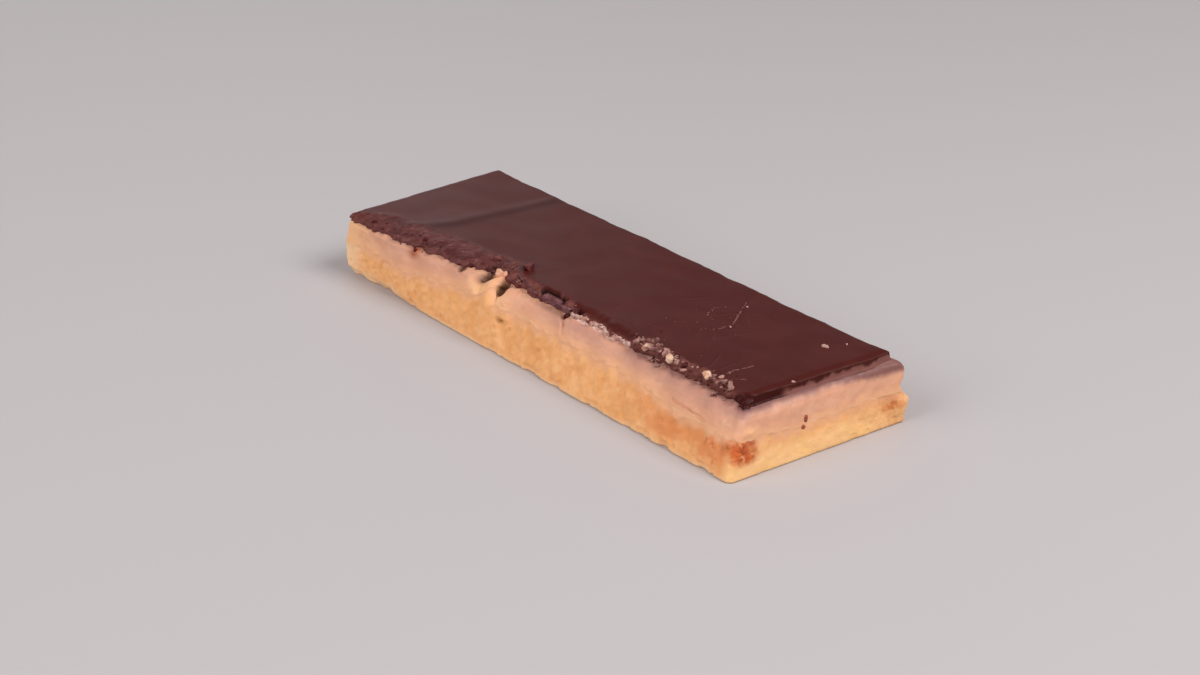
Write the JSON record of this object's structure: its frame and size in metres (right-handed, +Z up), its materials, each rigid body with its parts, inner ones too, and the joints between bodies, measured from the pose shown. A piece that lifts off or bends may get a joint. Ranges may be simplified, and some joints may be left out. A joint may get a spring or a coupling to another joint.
{
  "type": "caramel cookie bar",
  "caption": "Cut bar of layered caramel shortbread: crumbly base, soft caramel layer and thin chocolate top with one broken, crumbling long edge.",
  "frame": {"origin": "the middle of the bar's flat underside, at the centre of the whole bar's bounding box", "axes": "+X runs along the bar to its cut front end, -Y is the broken long side, +Z is up through the chocolate top"},
  "size_m": [0.11, 0.0388, 0.0126],
  "materials": {
    "shortbread": "matte, crumbly, golden with toasted spots",
    "caramel": "smooth, dull satin, pinkish beige",
    "chocolate": "set chocolate, soft satin gloss with fine scratches and crumbs"
  },
  "bodies": {
    "root": {"shortbread_base": "shortbread", "caramel_layer": "caramel", "chocolate_top": "chocolate"}
  },
  "joints": []
}
